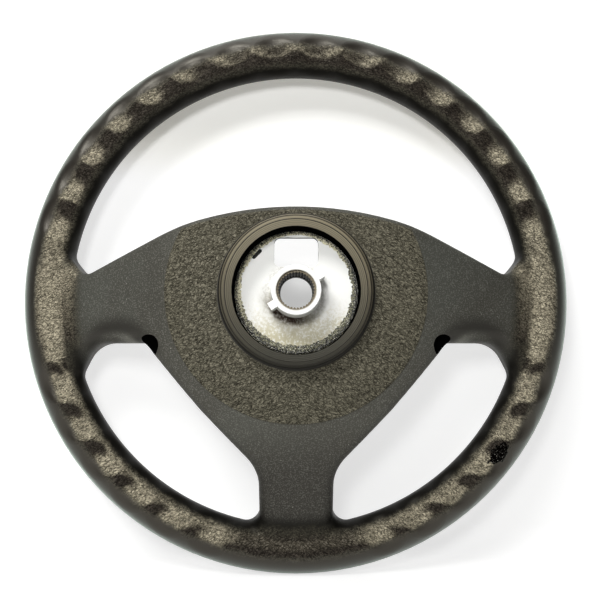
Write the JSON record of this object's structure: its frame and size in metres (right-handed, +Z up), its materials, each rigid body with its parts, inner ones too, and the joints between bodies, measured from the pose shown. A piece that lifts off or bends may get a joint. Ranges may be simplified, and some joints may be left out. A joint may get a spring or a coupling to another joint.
{
  "type": "steering wheel",
  "caption": "Bare car steering wheel with moulded grip, finger scallops, spokes, splined hub and an open pocket for the airbag.",
  "frame": {"origin": "middle of the hub bush's plain bore, on the wheel's axis", "axes": "+Z up through the upper window, +X to the right as seen from behind the wheel, -Y along the bore towards the steering column, +Y towards the driver"},
  "size_m": [0.3746, 0.0795, 0.3746],
  "materials": {
    "foam_skin": "grained moulded polyurethane skin",
    "cast_alloy": "as cast, blasted",
    "core_steel": "bright drawn",
    "bush_steel": "machined, lightly stained"
  },
  "bodies": {
    "root": {"grip_cover": "foam_skin", "armature": "cast_alloy", "rim_ring": "core_steel", "hub_bush": "bush_steel"}
  },
  "joints": []
}
